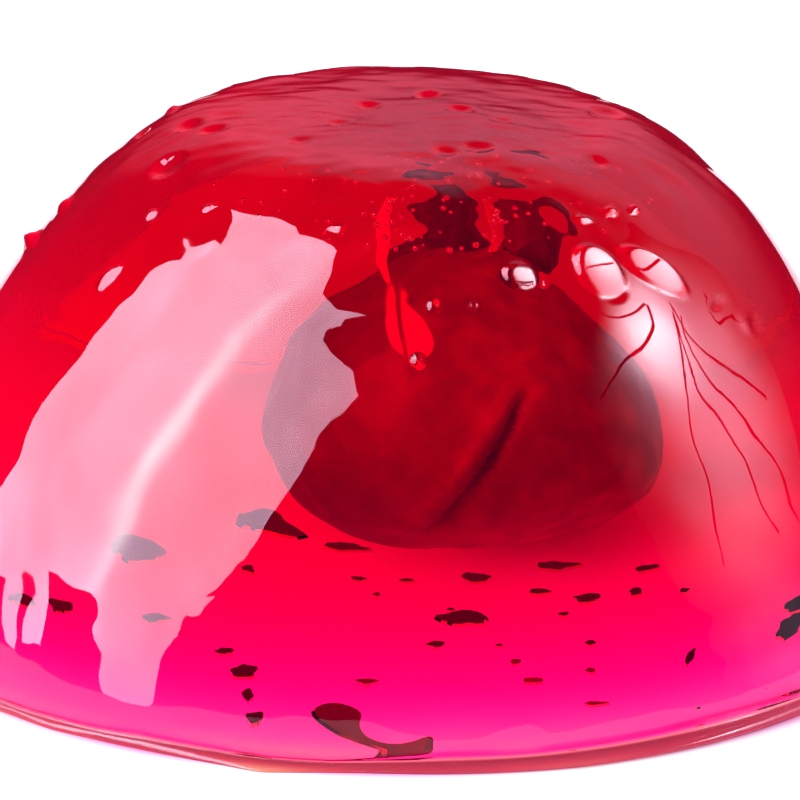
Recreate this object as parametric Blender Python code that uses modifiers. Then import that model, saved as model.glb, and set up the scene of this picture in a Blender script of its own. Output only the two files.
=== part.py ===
"""A moulded fruit jelly turned out of its mould: one clear, soft dome that stands on its flat base.

The dome is turned from a side profile and then settled: its top tips a little, its shoulder and
top carry shallow lumps and dents, and its foot spreads into a thin, uneven rim of jelly.
Metres, +Z up, origin in the middle of the flat base, -Y is the front.
"""

from math import atan2, cos, exp, hypot, pi, radians, sin

import bpy
from mathutils import Vector, noise

# Driving dimensions
BASE_RADIUS = 0.0420  # foot of the dome, where its side meets the rim
SHOULDER_HEIGHT = 0.0414  # where the side rolls over into the top
TOP_RADIUS = 0.0158  # the gently crowned middle of the top
CROWN = 0.0009  # rise of the top from its edge to its middle
SIDE_LEAN = radians(8.2)  # the side leans in from upright at its foot
SIDE_PULL = 0.0199  # how long the side keeps its direction above the foot
SHOULDER_PULL = 0.0120  # how long the top keeps its direction past its edge

# The rim at the foot: a thin skirt of jelly that ran out under the mould's edge
RIM_REACH = 0.0007  # how far it stands out past the side
RIM_HEIGHT = 0.0009
RIM_CREASE = 0.0003  # width of the hollow line above it
FLAT_RADIUS = BASE_RADIUS - 0.0004  # the part of the underside that is flat

# Settling
TIP_SIDEWAYS = -0.019  # slope of the top along X: lower on the right
TIP_BACK = 0.050  # slope of the top along Y: lower at the front
DENT_DEPTH = 0.00035  # dents in the top
DENT_SIZE = 0.0080
LUMP_HEIGHT = 0.00030  # slow swellings of the side
LUMP_SIZE = 0.0210
LEFT_BELLY = 0.0015  # how far the left side bulges, half-way up
BELLY_SPREAD = 0.25  # how much of the height it covers above and below that

# Fineness
TURN_STEPS = 96
SIDE_STEPS = 22
TOP_STEPS = 7
RIM_STEPS = 5
MERGE_DISTANCE = 0.00001

# Shoulder lumps: angle round the dome from +X, height, size across and how far each stands out
SHOULDER_LUMPS = (
    (radians(172), 0.0362, 0.0022, 0.0007),
    (radians(184), 0.0378, 0.0016, 0.0005),
    (radians(301), 0.0368, 0.0034, 0.0006),
    (radians(322), 0.0352, 0.0040, 0.0005),
)

JELLY_COLOUR = (0.62, 0.005, 0.045, 1.0)
JELLY_ROUGHNESS = 0.06


def between(start, end, share):
    return start + (end - start) * share


def side_point(share):
    """A point of the side's curve, from the foot (0) up to the edge of the top (1)."""
    foot = Vector((BASE_RADIUS, RIM_HEIGHT))
    edge = Vector((TOP_RADIUS, SHOULDER_HEIGHT))
    edge_slope = 2 * CROWN / TOP_RADIUS
    above_foot = foot + SIDE_PULL * Vector((-sin(SIDE_LEAN), cos(SIDE_LEAN)))
    past_edge = edge + SHOULDER_PULL * Vector((cos(edge_slope), -sin(edge_slope)))
    rest = 1 - share
    return (
        foot * rest**3
        + above_foot * 3 * rest**2 * share
        + past_edge * 3 * rest * share**2
        + edge * share**3
    )


def top_points():
    """From the middle of the top out to its edge, a shallow crown."""
    points = []
    for step in range(TOP_STEPS):
        radius = TOP_RADIUS * step / TOP_STEPS
        height = SHOULDER_HEIGHT + CROWN * (1 - (radius / TOP_RADIUS) ** 2)
        points.append(Vector((radius, height)))
    return points


def rim_points():
    """From the hollow line under the side, round the rim's rounded nose, to the flat underside."""
    middle = Vector((BASE_RADIUS, RIM_HEIGHT / 2))
    points = [Vector((BASE_RADIUS + RIM_CREASE / 3, RIM_HEIGHT * 0.98))]
    for step in range(1, RIM_STEPS):
        turn = between(pi / 2, -pi / 2, step / RIM_STEPS)
        reach = RIM_REACH * cos(turn)
        points.append(middle + Vector((reach, RIM_HEIGHT / 2 * sin(turn))))
    points.append(Vector((FLAT_RADIUS, 0)))
    points.append(Vector((0, 0)))
    return points


def half_outline():
    """The outline at +X, from the top of the axis down the outside to the bottom of the axis."""
    side = [side_point(1 - step / SIDE_STEPS) for step in range(SIDE_STEPS + 1)]
    return top_points() + side + rim_points()


def turned(name, outline, steps):
    """A mesh made by turning an outline about the Z axis."""
    profile = bpy.data.meshes.new(name + "_outline")
    points = [(point.x, 0, point.y) for point in outline]
    profile.from_pydata(points, [(i, i + 1) for i in range(len(points) - 1)], [])
    guide = bpy.data.objects.new(name + "_outline", profile)
    bpy.context.scene.collection.objects.link(guide)
    screw = guide.modifiers.new("Turn", "SCREW")
    screw.steps = steps
    screw.render_steps = steps
    screw.use_merge_vertices = True
    screw.merge_threshold = MERGE_DISTANCE
    graph = bpy.context.evaluated_depsgraph_get()
    mesh = bpy.data.meshes.new_from_object(guide.evaluated_get(graph))
    mesh.name = name
    bpy.data.objects.remove(guide)
    bpy.data.meshes.remove(profile)
    return mesh


def rim_swell(angle):
    """How full the rim is round the dome, from 0, where it dies out, to 1."""
    waves = 0.6 * sin(angle + 0.9) + 0.35 * sin(3 * angle + 2.1) + 0.2 * sin(7 * angle)
    return min(1.0, max(0.0, 0.62 + waves / 2))


def belly_push(angle, height_share):
    """How far the left side's slow bulge pushes the side out at this place."""
    leftward = max(0.0, -cos(angle)) ** 2
    return LEFT_BELLY * leftward * exp(-(((height_share - 0.5) / BELLY_SPREAD) ** 2))


def lump_push(angle, height):
    """How far the shoulder's lumps push the side out at this place."""
    push = 0
    for lump_angle, lump_height, size, reach in SHOULDER_LUMPS:
        turn = atan2(sin(angle - lump_angle), cos(angle - lump_angle))
        away = hypot(turn * BASE_RADIUS / 2, height - lump_height)
        push += reach * exp(-((away / size) ** 2))
    return push


def settled(point):
    """Where a point of the turned dome ends up once the jelly has settled on its base."""
    radius = hypot(point.x, point.y)
    if radius < MERGE_DISTANCE and point.z < MERGE_DISTANCE:
        return point.copy()
    angle = atan2(point.y, point.x)
    height_share = point.z / SHOULDER_HEIGHT
    outward = Vector((point.x, point.y, 0)).normalized() if radius > MERGE_DISTANCE else Vector()
    moved = point.copy()
    if radius > BASE_RADIUS:
        moved -= outward * (radius - BASE_RADIUS) * (1 - rim_swell(angle))
    if height_share > 0.05:
        swelling = LUMP_HEIGHT * noise.noise(point / LUMP_SIZE)
        slow = swelling + belly_push(angle, height_share)
        fade = min(1.0, height_share / 0.25)
        moved += outward * (fade * slow + lump_push(angle, point.z))
    tip = TIP_SIDEWAYS * point.x + TIP_BACK * point.y
    dents = DENT_DEPTH * noise.noise(Vector((point.x, point.y, 0)) / DENT_SIZE)
    moved.z += height_share**2 * tip + height_share**6 * dents
    return moved


def jelly_material():
    material = bpy.data.materials.new("dyed_jelly")
    material.use_nodes = True
    shader = material.node_tree.nodes["Principled BSDF"]
    shader.inputs["Base Color"].default_value = JELLY_COLOUR
    shader.inputs["Roughness"].default_value = JELLY_ROUGHNESS
    shader.inputs["Metallic"].default_value = 0
    return material


def make_jelly(collection):
    mesh = turned("jelly", half_outline(), TURN_STEPS)
    for vertex in mesh.vertices:
        vertex.co = settled(vertex.co)
    mesh.shade_smooth()
    mesh.materials.append(jelly_material())
    collection.objects.link(bpy.data.objects.new("jelly", mesh))


def main():
    for old in list(bpy.data.objects):
        bpy.data.objects.remove(old)
    collection = bpy.data.collections.new("moulded_jelly")
    bpy.context.scene.collection.children.link(collection)
    make_jelly(collection)


main()
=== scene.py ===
# %% [markdown]
# # A moulded fruit jelly
# A small jelly has been turned out of its mould onto a white table: a clear crimson dome with a
# soft, wrinkled top, one whole fruit caught inside, tiny air bubbles, and flat pockets of air
# trapped under its base. This script builds the looks of that jelly round a fixed frame, which
# already holds the dome's solid at its real size. Everything is in metres, +Z is up, the middle
# of the flat base is the origin, and -Y is the front.

# %% Load the frame and keep its box
import random
from math import atan2, cos, degrees, exp, hypot, pi, radians, sin, tan

import bmesh
import bpy
from mathutils import Matrix, Vector, noise
from mathutils.bvhtree import BVHTree
from mathutils.kdtree import KDTree


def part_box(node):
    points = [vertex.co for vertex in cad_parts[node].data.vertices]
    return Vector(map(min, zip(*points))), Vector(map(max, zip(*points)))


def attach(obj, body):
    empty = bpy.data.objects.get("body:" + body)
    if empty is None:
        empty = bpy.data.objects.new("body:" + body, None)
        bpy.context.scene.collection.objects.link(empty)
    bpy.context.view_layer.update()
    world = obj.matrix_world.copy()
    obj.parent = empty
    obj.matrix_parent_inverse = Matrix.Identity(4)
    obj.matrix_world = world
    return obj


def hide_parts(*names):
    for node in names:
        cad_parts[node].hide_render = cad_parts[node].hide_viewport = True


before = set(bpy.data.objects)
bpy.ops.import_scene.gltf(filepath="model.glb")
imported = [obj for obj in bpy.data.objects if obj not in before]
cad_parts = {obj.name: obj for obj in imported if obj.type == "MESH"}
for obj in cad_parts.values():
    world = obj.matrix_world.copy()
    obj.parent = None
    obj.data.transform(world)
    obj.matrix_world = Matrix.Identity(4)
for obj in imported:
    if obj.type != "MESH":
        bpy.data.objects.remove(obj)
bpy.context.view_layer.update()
dome_low, dome_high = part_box("jelly")
MM = 0.001
print("solid's box, mm:", [round(v / MM, 1) for v in (*dome_low, *dome_high)])

# %% [markdown]
# ## The camera
# The jelly is seen from just above the table, close up with a long lens, so near that both ends
# of its foot fall outside the picture. The camera stands at ten base radii from the jelly and
# looks down by about 16 degrees. A long lens is a narrow field of view: `lens` over the sensor's
# width says how narrow. The aim is a point a little below half the jelly's height.

# %% Place the camera
BASE_RADIUS = 42 * MM
CAMERA_DISTANCE = 10 * BASE_RADIUS
CAMERA_RISE = radians(15.7)
CAMERA_LENS = 228.0
CAMERA_SENSOR = 36.0
LOOK_HEIGHT = 20.7 * MM
AIM = Vector((-0.7, 0, 17.4)) * MM

camera_data = bpy.data.cameras.new("camera")
camera_data.lens = CAMERA_LENS
camera_data.sensor_width = CAMERA_SENSOR
camera_data.clip_start = 0.01
camera = bpy.data.objects.new("camera", camera_data)
bpy.context.scene.collection.objects.link(camera)
camera.location = Vector((
    0,
    -CAMERA_DISTANCE * cos(CAMERA_RISE),
    LOOK_HEIGHT + CAMERA_DISTANCE * sin(CAMERA_RISE),
))
camera.rotation_euler = (AIM - camera.location).to_track_quat("-Z", "Y").to_euler()
bpy.context.scene.camera = camera
print("camera at, mm:", [round(v / MM) for v in camera.location])

# %% [markdown]
# ## Small helpers
# A bmesh is Blender's editing mesh. Each piece is shaped in one, turned into an object whose
# place is in its mesh, and shaded smooth. A material is a graph of nodes, so two more helpers
# make a material with an empty graph and add a node with its settings.

# %% Helpers for meshes and for materials
def finish_mesh(name, shape):
    mesh = bpy.data.meshes.new(name)
    shape.to_mesh(mesh)
    shape.free()
    piece = bpy.data.objects.new(name, mesh)
    bpy.context.scene.collection.objects.link(piece)
    print(name, "has", len(mesh.polygons), "faces")
    return piece


def shade_smooth(shape):
    for face in shape.faces:
        face.smooth = True


def new_material(name):
    material = bpy.data.materials.new(name)
    material.use_nodes = True
    material.node_tree.nodes.clear()
    return material


def add_node(tree, kind, **settings):
    node = tree.nodes.new(kind)
    for key, value in settings.items():
        if hasattr(node, key):
            setattr(node, key, value)
        else:
            node.inputs[key.replace("_", " ")].default_value = value
    return node


def direction(azimuth, rise):
    """The unit vector towards a place round the jelly: azimuth 0 is the front, 90 the right."""
    a, e = radians(azimuth), radians(rise)
    return Vector((sin(a) * cos(e), -cos(a) * cos(e), sin(e)))


def smooth_step(value, low, high):
    share = min(1.0, max(0.0, (value - low) / (high - low)))
    return share * share * (3 - 2 * share)


def by_azimuth(table, point):
    """The value at a point's azimuth, from a table of pairs of azimuth and value."""
    azimuth = degrees(atan2(point.x, -point.y))
    for (low, first), (high, second) in zip(table, table[1:]):
        if azimuth <= high:
            return first + (second - first) * (azimuth - low) / (high - low)
    return table[-1][1]


# %% [markdown]
# ## Patterns made of nodes
# A pattern on a lamp or on the table is arithmetic on the shaded point's own coordinates. These
# helpers each add one node and hand back its output, so that a formula reads nearly like Python.
# `bell` is 1 at a value and falls away on both sides of it; `fade` slides smoothly from 0 to 1.

# %% Helpers that build a formula from nodes
def calc(tree, operation, first, second=0.0, third=0.0):
    node = add_node(tree, "ShaderNodeMath", operation=operation)
    for socket, value in zip(node.inputs, (first, second, third)):
        if isinstance(value, (int, float)):
            socket.default_value = value
        else:
            tree.links.new(value, socket)
    return node.outputs["Value"]


def bell(tree, value, middle, width):
    off = calc(tree, "DIVIDE", calc(tree, "SUBTRACT", value, middle), width)
    return calc(tree, "EXPONENT", calc(tree, "MULTIPLY", calc(tree, "MULTIPLY", off, off), -1.0))


def fade(tree, value, start, end):
    node = add_node(tree, "ShaderNodeMapRange", interpolation_type="SMOOTHSTEP")
    node.inputs["From Min"].default_value = start
    node.inputs["From Max"].default_value = end
    tree.links.new(value, node.inputs["Value"])
    return node.outputs["Result"]


def far_from(tree, across, upward, middle):
    """How far a place on a flat pattern lies from a point of it."""
    off_across = calc(tree, "SUBTRACT", across, middle[0])
    off_upward = calc(tree, "SUBTRACT", upward, middle[1])
    squares = calc(tree, "MULTIPLY", off_upward, off_upward)
    return calc(tree, "SQRT", calc(tree, "MULTIPLY_ADD", off_across, off_across, squares))


def along(tree, axis):
    """How far the shaded point lies along an axis, times the axis's length."""
    place = add_node(tree, "ShaderNodeTexCoord")
    dot = add_node(tree, "ShaderNodeVectorMath", operation="DOT_PRODUCT")
    dot.inputs[1].default_value = axis
    tree.links.new(place.outputs["Object"], dot.inputs[0])
    return dot.outputs["Value"]


def clouds(tree, scale, detail=2.0):
    """Soft noise from 0 to 1 in the piece's own coordinates."""
    place = add_node(tree, "ShaderNodeTexCoord")
    puffs = add_node(tree, "ShaderNodeTexNoise", Scale=scale, Detail=detail)
    tree.links.new(place.outputs["Object"], puffs.inputs["Vector"])
    return puffs.outputs["Fac"]


# %% [markdown]
# ## The table
# Jelly is wet, so its base clings to the table with no air between them. Light from the white
# table then enters it directly, which is why the lower part glows pink. A table exactly at the
# base would leave a mirror-like film of air in between, so its surface is set a hair's breadth
# above the base instead, inside the jelly.
#
# Light gathered by the dome falls on the table beneath it, the strip just behind the foot is in
# shade, a thin shade lies under the crease at the front of the foot, and the ring round the foot
# is lit pink by light dyed in the jelly. Finding such light by tracing is slow and grainy, so the
# table glows by itself a little, in that pattern: painted light and painted shade, with the pink
# painted into the table's colour as well. The pattern is fitted to the view from the front: from
# other sides some of its shades show as dark smudges in the jelly.

# %% Make the white table
WET_CONTACT = 0.15 * MM
TABLE_HALF = 0.45
TABLE_COLOUR = (0.26, 0.26, 0.26, 1)
OPEN_GLOW, COVERED_GLOW, BACK_GLOW = 0.50, 1.15, 0.35
COVER_MIDDLE, COVER_START, COVER_END = (0, 7 * MM), 50 * MM, 38 * MM
SHADES = (
    # place, size, depth: behind the foot twice, under the fruit, and to the right of it
    ((0, 39.5 * MM), 14 * MM, 0.48),
    ((9 * MM, 42 * MM), 9 * MM, 0.28),
    ((7 * MM, 15 * MM), 8.5 * MM, 0.85),
    ((15 * MM, 24 * MM), 7.5 * MM, 0.40),
)
STRIP_PLACE, STRIP_WIDTH, STRIP_DEPTH = 46.5 * MM, 3.5 * MM, 0.40
# painted pink light and shade round the foot, for light dyed by the jelly; seen through the thin
# lip it gives the lip its colour
PINK_LIGHT = (0.80, 0.20, 0.50, 1)
PINK_LIGHT_IN, PINK_LIGHT_FULL, PINK_LIGHT_THIN, PINK_LIGHT_OUT = 39.0 * MM, 40.8 * MM, 42.2 * MM, 44.0 * MM
# painted shade under the crease at the front of the foot, which darkens the table's glow there
CREASE_SHADE_RADIUS, CREASE_SHADE_WIDTH, CREASE_SHADE_DEPTH = 41.3 * MM, 1.0 * MM, 0.35
CREASE_SHADE_BACK, CREASE_SHADE_FRONT = 0.0, -5 * MM
PINK_LIGHT_BACK, PINK_LIGHT_FRONT = 0.4 * BASE_RADIUS, -0.1 * BASE_RADIUS
GLOW_BACK_START, GLOW_BACK_END = 0.25 * BASE_RADIUS, 0.85 * BASE_RADIUS


def darker(tree, lit, pattern, depth):
    """The light that is left where a pattern takes away its share."""
    return calc(tree, "MULTIPLY", calc(tree, "MULTIPLY_ADD", pattern, -depth, 1.0), lit)


table_material = new_material("white_table")
tree = table_material.node_tree
x, y = along(tree, (1, 0, 0)), along(tree, (0, 1, 0))
covered = fade(tree, far_from(tree, x, y, COVER_MIDDLE), COVER_START, COVER_END)
strength = calc(tree, "MULTIPLY_ADD", covered, COVERED_GLOW, OPEN_GLOW)
at_back = fade(tree, y, GLOW_BACK_START, GLOW_BACK_END)
strength = calc(tree, "MULTIPLY_ADD", at_back, BACK_GLOW, strength)
lit = 1.0
for shade_place, size, depth in SHADES:
    shade = bell(tree, far_from(tree, x, y, shade_place), 0.0, size)
    lit = darker(tree, lit, shade, depth)
lit = darker(tree, lit, bell(tree, y, STRIP_PLACE, STRIP_WIDTH), STRIP_DEPTH)
outward = far_from(tree, x, y, (0, 0))
# the painted shade under the crease
crease_shade = bell(tree, outward, CREASE_SHADE_RADIUS, CREASE_SHADE_WIDTH)
crease_shade = calc(tree, "MULTIPLY", crease_shade, fade(tree, y, CREASE_SHADE_BACK, CREASE_SHADE_FRONT))
lit = darker(tree, lit, crease_shade, CREASE_SHADE_DEPTH)
# the painted pink light, in a ring round the foot, at the front only
pink_lit = calc(
    tree, "MULTIPLY",
    fade(tree, outward, PINK_LIGHT_IN, PINK_LIGHT_FULL), fade(tree, outward, PINK_LIGHT_OUT, PINK_LIGHT_THIN),
)
pink_lit = calc(tree, "MULTIPLY", pink_lit, fade(tree, y, PINK_LIGHT_BACK, PINK_LIGHT_FRONT))
pink_light_mix = add_node(tree, "ShaderNodeMix", data_type="RGBA")
pink_light_mix.inputs[6].default_value = (1, 1, 1, 1)
pink_light_mix.inputs[7].default_value = PINK_LIGHT
tree.links.new(pink_lit, pink_light_mix.inputs[0])
paint = add_node(tree, "ShaderNodeMix", data_type="RGBA", blend_type="MULTIPLY")
paint.inputs[0].default_value = 1.0
paint.inputs[7].default_value = TABLE_COLOUR
tree.links.new(pink_light_mix.outputs[2], paint.inputs[6])
table_lamp = add_node(tree, "ShaderNodeEmission")
tree.links.new(pink_light_mix.outputs[2], table_lamp.inputs["Color"])
tree.links.new(calc(tree, "MULTIPLY", strength, lit), table_lamp.inputs["Strength"])
table_shader = add_node(tree, "ShaderNodeBsdfDiffuse")
tree.links.new(paint.outputs[2], table_shader.inputs["Color"])
table_sum = add_node(tree, "ShaderNodeAddShader")
table_output = add_node(tree, "ShaderNodeOutputMaterial")
tree.links.new(table_shader.outputs["BSDF"], table_sum.inputs[0])
tree.links.new(table_lamp.outputs["Emission"], table_sum.inputs[1])
tree.links.new(table_sum.outputs["Shader"], table_output.inputs["Surface"])

shape = bmesh.new()
bmesh.ops.create_grid(shape, x_segments=1, y_segments=1, size=TABLE_HALF)
bmesh.ops.translate(shape, verts=shape.verts, vec=(0, 0, WET_CONTACT))
table = finish_mesh("table", shape)
table.data.materials.append(table_material)

# %% [markdown]
# ## The studio
# Wet jelly is a mirror, so the lights are seen in it and their shapes matter. A large softbox
# leans over from the left, and a shoot-through umbrella stands at the right. Each is a flat
# glowing panel, turned to face the jelly. A place on a panel is measured in tangents of angle
# from its middle, as seen from the jelly, both for its outline and for its pattern.

# %% Helpers for flat panels that face the jelly
LAMP_DISTANCE = 1.2
LAMP_COLOUR = (1.0, 0.80, 1.08, 1)
WARM_COLOUR = (1.0, 0.90, 0.98, 1)


def panel_frame(azimuth, rise):
    towards = direction(azimuth, rise)
    across = towards.cross(Vector((0, 0, 1))).normalized()
    return towards, across, across.cross(towards)


def panel_place(tree, azimuth, rise):
    _, across, upward = panel_frame(azimuth, rise)
    return along(tree, across / LAMP_DISTANCE), along(tree, upward / LAMP_DISTANCE)


def facing_panel(name, azimuth, rise, outline, material, strength, warmth):
    tree = material.node_tree
    colour = add_node(tree, "ShaderNodeMix", data_type="RGBA")
    colour.inputs[6].default_value = LAMP_COLOUR
    colour.inputs[7].default_value = WARM_COLOUR
    lamp = add_node(tree, "ShaderNodeEmission")
    output = add_node(tree, "ShaderNodeOutputMaterial")
    tree.links.new(warmth, colour.inputs[0])
    tree.links.new(colour.outputs[2], lamp.inputs["Color"])
    tree.links.new(strength, lamp.inputs["Strength"])
    tree.links.new(lamp.outputs["Emission"], output.inputs["Surface"])
    towards, across, upward = panel_frame(azimuth, rise)
    shape = bmesh.new()
    corners = [
        shape.verts.new(LAMP_DISTANCE * (towards + u * across + v * upward))
        for u, v in outline
    ]
    shape.faces.new(corners)
    panel = finish_mesh(name, shape)
    panel.data.materials.append(material)


# %% [markdown]
# The softbox's cloth is creased, so its outline isn't straight, and one bright fold runs down it.

# %% The softbox on the left
SOFTBOX_AZIMUTH, SOFTBOX_RISE = -80, 35
SOFTBOX_OUTLINE = (
    (0.54, 0.587), (0.283, 0.524), (0.238, 0.44), (0.369, 0.391), (0.416, 0.294),
    (0.365, 0.239), (0.414, 0.131), (0.385, 0.083), (0.39, 0.013), (0.421, -0.059),
    (0.476, -0.179), (0.50, -0.281), (0.489, -0.394), (0.60, -0.50), (0.60, -0.64),
    (0.44, -0.64), (0.365, -0.625), (0.281, -0.708), (0.226, -0.707), (0.222, -0.653),
    (0.279, -0.609), (0.253, -0.59), (0.193, -0.585), (0.121, -0.652), (0.08, -0.653),
    (0.078, -0.616), (0.092, -0.56), (0.104, -0.521), (0.04, -0.503), (-0.032, -0.508),
    (-0.155, -0.506), (-0.279, -0.558), (-0.292, -0.634), (-0.39, -0.769), (-0.42, -0.95),
    (-0.56, -1.05), (-0.65, -0.95), (-0.644, -0.774), (-0.58, -0.577), (-0.572, -0.492),
    (-0.617, -0.443), (-0.614, -0.389), (-0.626, -0.355), (-0.711, -0.313), (-0.775, -0.25),
    (-0.70, -0.28), (-0.762, -0.225), (-0.864, -0.084), (-0.87, 0.007), (-0.89, 0.11),
    (-0.846, 0.329), (-0.846, 0.478), (-0.859, 0.619), (-0.682, 0.658), (-0.552, 0.595),
    (-0.478, 0.591), (-0.44, 0.628), (-0.468, 0.711), (-0.448, 0.756), (-0.478, 0.914),
    (-0.363, 0.748), (-0.232, 0.70), (-0.173, 0.768), (-0.07, 0.86), (0.15, 0.809),
    (0.206, 0.747), (0.364, 0.751), (0.38, 0.722),
)
SOFTBOX_GLOW, WIDE_GLOW, FOLD_GLOW = 12.0, 6.0, 17.0
WIDE_MIDDLE, WIDE_WIDTH = 0.12, 0.24
FOLD_MIDDLE, FOLD_BOW, FOLD_TURN, FOLD_WIDTH = -0.187, 0.17, -0.03, 0.05
FOLD_PLACE, FOLD_LENGTH = -0.03, 0.48
PATCHES = (
    # place, size, glow
    ((0.31, 0.32), 0.06, 6.0),
    ((0.27, 0.15), 0.10, 4.0),
)
CLOTH_SCALE, CLOTH_DETAIL, CLOTH_DARK, CLOTH_BRIGHT = 3.5, 4.0, 0.65, 1.35

softbox_material = new_material("softbox_cloth")
tree = softbox_material.node_tree
u, v = panel_place(tree, SOFTBOX_AZIMUTH, SOFTBOX_RISE)
bow = calc(tree, "SUBTRACT", v, FOLD_TURN)
bow = calc(tree, "MULTIPLY_ADD", calc(tree, "MULTIPLY", bow, bow), FOLD_BOW, FOLD_MIDDLE)
off_fold = calc(tree, "SUBTRACT", u, bow)
fold = bell(tree, off_fold, 0.0, FOLD_WIDTH)
fold = calc(tree, "MULTIPLY", fold, bell(tree, v, FOLD_PLACE, FOLD_LENGTH))
strength = calc(tree, "MULTIPLY_ADD", fold, FOLD_GLOW, SOFTBOX_GLOW)
wide = bell(tree, off_fold, WIDE_MIDDLE, WIDE_WIDTH)
strength = calc(tree, "MULTIPLY_ADD", wide, WIDE_GLOW, strength)
for patch_place, size, glow in PATCHES:
    patch = bell(tree, far_from(tree, u, v, patch_place), 0.0, size)
    strength = calc(tree, "MULTIPLY_ADD", patch, glow, strength)
creases = clouds(tree, CLOTH_SCALE, CLOTH_DETAIL)
creases = calc(tree, "MULTIPLY_ADD", creases, CLOTH_BRIGHT - CLOTH_DARK, CLOTH_DARK)
facing_panel(
    "softbox", SOFTBOX_AZIMUTH, SOFTBOX_RISE, SOFTBOX_OUTLINE, softbox_material,
    calc(tree, "MULTIPLY", strength, creases), fold,
)

# %% [markdown]
# The umbrella is brightest where the lamp behind it shines through its cloth, and fades away
# downwards. Its ribs and the folds of its cloth are dark rods and strips just in front of it.

# %% The umbrella on the right
UMBRELLA_AZIMUTH, UMBRELLA_RISE = 97, 33
UMBRELLA_MIDDLE, UMBRELLA_SIZE, UMBRELLA_SIDES = (0.10, -0.08), 0.60, 24
HOT_SPOT, HOT_GLOW, HOT_WIDTH = (0.11, 0.135), 33.0, 0.15
CLOTH_SPOT, CLOTH_GLOW, CLOTH_WIDTH = (0.06, -0.14), 7.0, 0.31
TOP_DARK, TOP_BRIGHT = 0.36, 0.22

umbrella_material = new_material("umbrella_cloth")
tree = umbrella_material.node_tree
u, v = panel_place(tree, UMBRELLA_AZIMUTH, UMBRELLA_RISE)
cloth = bell(tree, far_from(tree, u, v, CLOTH_SPOT), 0.0, CLOTH_WIDTH)
hot = bell(tree, far_from(tree, u, v, HOT_SPOT), 0.0, HOT_WIDTH)
strength = calc(tree, "MULTIPLY", cloth, CLOTH_GLOW)
strength = calc(tree, "MULTIPLY_ADD", hot, HOT_GLOW, strength)
strength = calc(tree, "MULTIPLY", strength, fade(tree, v, TOP_DARK, TOP_BRIGHT))
umbrella_outline = [
    (
        UMBRELLA_MIDDLE[0] + UMBRELLA_SIZE * cos(2 * pi * i / UMBRELLA_SIDES),
        UMBRELLA_MIDDLE[1] + UMBRELLA_SIZE * sin(2 * pi * i / UMBRELLA_SIDES),
    )
    for i in range(UMBRELLA_SIDES)
]
facing_panel(
    "umbrella", UMBRELLA_AZIMUTH, UMBRELLA_RISE, umbrella_outline, umbrella_material,
    strength, hot,
)

# %% Its ribs
RIB_CLEARANCE = 0.99
RIB_WIDTH = 0.011
RIB_COLOUR = (0.02, 0.005, 0.005, 1)
RIBS = (
    ((-0.06, 0.08), (0.05, 0.02), (0.16, -0.06), (0.22, -0.13), (0.26, -0.22), (0.29, -0.30),
     (0.33, -0.39)),
    ((-0.06, 0.08), (0.06, -0.01), (0.11, -0.12), (0.08, -0.20), (0.04, -0.28), (0.02, -0.34),
     (-0.01, -0.42), (-0.04, -0.50)),
    ((-0.09, 0.04), (-0.01, 0.01), (0.04, -0.10), (-0.04, -0.24), (-0.11, -0.33), (-0.13, -0.39),
     (-0.16, -0.46), (-0.22, -0.53)),
    ((0.01, 0.19), (0.06, 0.14), (0.11, 0.12), (0.19, 0.13), (0.31, 0.20), (0.41, 0.20),
     (0.53, 0.21)),
    ((0.18, 0.36), (0.16, 0.28), (0.06, 0.22), (0.01, 0.20)),
    ((-0.30, -0.01), (-0.21, -0.04), (-0.20, -0.08), (-0.33, -0.12), (-0.45, -0.18)),
    ((-0.09, 0.10), (-0.03, -0.02), (-0.08, -0.12), (-0.16, -0.22), (-0.26, -0.33)),
)


def bowed(points, rounds=2):
    """An open path with its corners cut off, so that it bows."""
    for _ in range(rounds):
        cut = [points[0]]
        for (ax, ay), (bx, by) in zip(points, points[1:]):
            cut += [(0.75 * ax + 0.25 * bx, 0.75 * ay + 0.25 * by)]
            cut += [(0.25 * ax + 0.75 * bx, 0.25 * ay + 0.75 * by)]
        points = cut + [points[-1]]
    return points


rib_material = new_material("umbrella_rib")
tree = rib_material.node_tree
dark = add_node(tree, "ShaderNodeBsdfDiffuse", Color=RIB_COLOUR)
rib_output = add_node(tree, "ShaderNodeOutputMaterial")
tree.links.new(dark.outputs["BSDF"], rib_output.inputs["Surface"])
towards, across, upward = panel_frame(UMBRELLA_AZIMUTH, UMBRELLA_RISE)
shape = bmesh.new()
for rib in RIBS:
    path = [
        RIB_CLEARANCE * LAMP_DISTANCE * (towards + a * across + b * upward)
        for a, b in bowed(list(rib))
    ]
    for start, end in zip(path, path[1:]):
        aside = (end - start).cross(towards).normalized() * RIB_WIDTH * LAMP_DISTANCE / 2
        corners = [start - aside, end - aside, end + aside, start + aside]
        shape.faces.new([shape.verts.new(corner) for corner in corners])
ribs = finish_mesh("umbrella_ribs", shape)
ribs.data.materials.append(rib_material)

# %% [markdown]
# The room itself is dark, except for a pale wall behind the jelly, from a little above the
# table to half way up, which lays a thin veil over the wet top. The background has to be plain
# white, so rays straight from the camera see white instead: a Light Path node tells them apart.

# %% The room
WALL_AZIMUTH, WALL_GLOW, ROOM_DARK = 145, 0.52, 0.01
WALL_FOOT, WALL_BRIGHT, WALL_DIM, WALL_TOP = 0.06, 0.50, 0.70, 0.82
WALL_EDGE, WALL_CORE = 0.35, 0.80
ROOM_COLOUR = (1.0, 0.80, 1.20, 1)
WHITE = 1.3
INNER_BOUNCES, GLOSS_BOUNCES = 16, 8

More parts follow.
